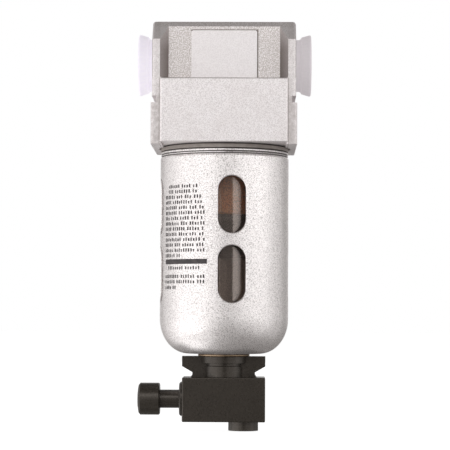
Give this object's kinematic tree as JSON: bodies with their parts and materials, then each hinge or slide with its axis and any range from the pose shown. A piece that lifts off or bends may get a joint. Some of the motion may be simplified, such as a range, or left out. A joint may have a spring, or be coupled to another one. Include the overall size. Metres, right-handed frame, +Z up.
{
  "type": "compressed air filter",
  "caption": "Modular compressed air filter: cast head with threaded ports, clear bowl in a windowed metal guard, and a push-button drain valve under the bowl.",
  "frame": {"origin": "centre of the inlet port, in the plane of the inlet flange face", "axes": "+X along the flow, out of the outlet flange; +Z up along the bowl axis; -Y is the front, where the recess, the windows and the print are seen; the push button points to -X"},
  "size_m": [0.0642, 0.053, 0.1499],
  "materials": {
    "head_paint": "speckled silver paint on a casting",
    "guard_metal": "satin silver",
    "clear_plastic": "clear moulded polycarbonate",
    "plug_plastic": "translucent white polyethylene",
    "drain_black": "satin black",
    "moulded_black": "moulded",
    "grey_plastic": "matte",
    "seal_rubber": "nitrile",
    "sintered_bronze": "sintered grains",
    "brass": "turned",
    "plated_steel": "zinc plated"
  },
  "bodies": {
    "head": {"head": "head_paint", "center_stud": "plated_steel", "deflector": "moulded_black", "element_gasket_top": "seal_rubber", "filter_element": "sintered_bronze", "element_gasket_bottom": "seal_rubber", "baffle": "moulded_black", "baffle_nut": "plated_steel"},
    "inlet_cap": {"inlet_plug": "plug_plastic"},
    "outlet_cap": {"outlet_plug": "plug_plastic"},
    "bowl": {"bowl": "clear_plastic", "bowl_o_ring": "seal_rubber", "slip_ring": "grey_plastic", "drain_lock_ring": "brass", "drain_gasket": "seal_rubber", "drain_nut": "brass", "drain_body": "drain_black", "drain_gland": "drain_black"},
    "guard": {"bowl_guard": "guard_metal"},
    "button": {"plunger": "drain_black", "plunger_o_rings": "seal_rubber", "push_button": "drain_black", "plunger_spring": "plated_steel"}
  },
  "joints": [
    {"name": "inlet_plug_pull", "type": "slide", "parent": "head", "child": "inlet_cap", "axis": [-1, 0, 0], "range_m": [0, 0.04]},
    {"name": "outlet_plug_pull", "type": "slide", "parent": "head", "child": "outlet_cap", "axis": [1, 0, 0], "range_m": [0, 0.04]},
    {"name": "bowl_drop", "type": "slide", "parent": "head", "child": "bowl", "axis": [0, 0, -1], "range_m": [0, 0.006]},
    {"name": "guard_turn", "type": "hinge", "parent": "bowl", "child": "guard", "pos_m": [0.0261, 0, -0.026], "axis": [0, 0, -1], "range_deg": [0, 1080]},
    {"name": "drain_press", "type": "slide", "parent": "bowl", "child": "button", "axis": [1, 0, 0], "range_m": [0, 0.004], "stiffness_N_per_m": 600, "springref_m": -0.003, "deforming": ["plunger_spring"]}
  ],
  "couplings": [
    {"joint": "bowl_drop", "follows": "guard_turn", "m_per_rad": 0.0003183}
  ]
}
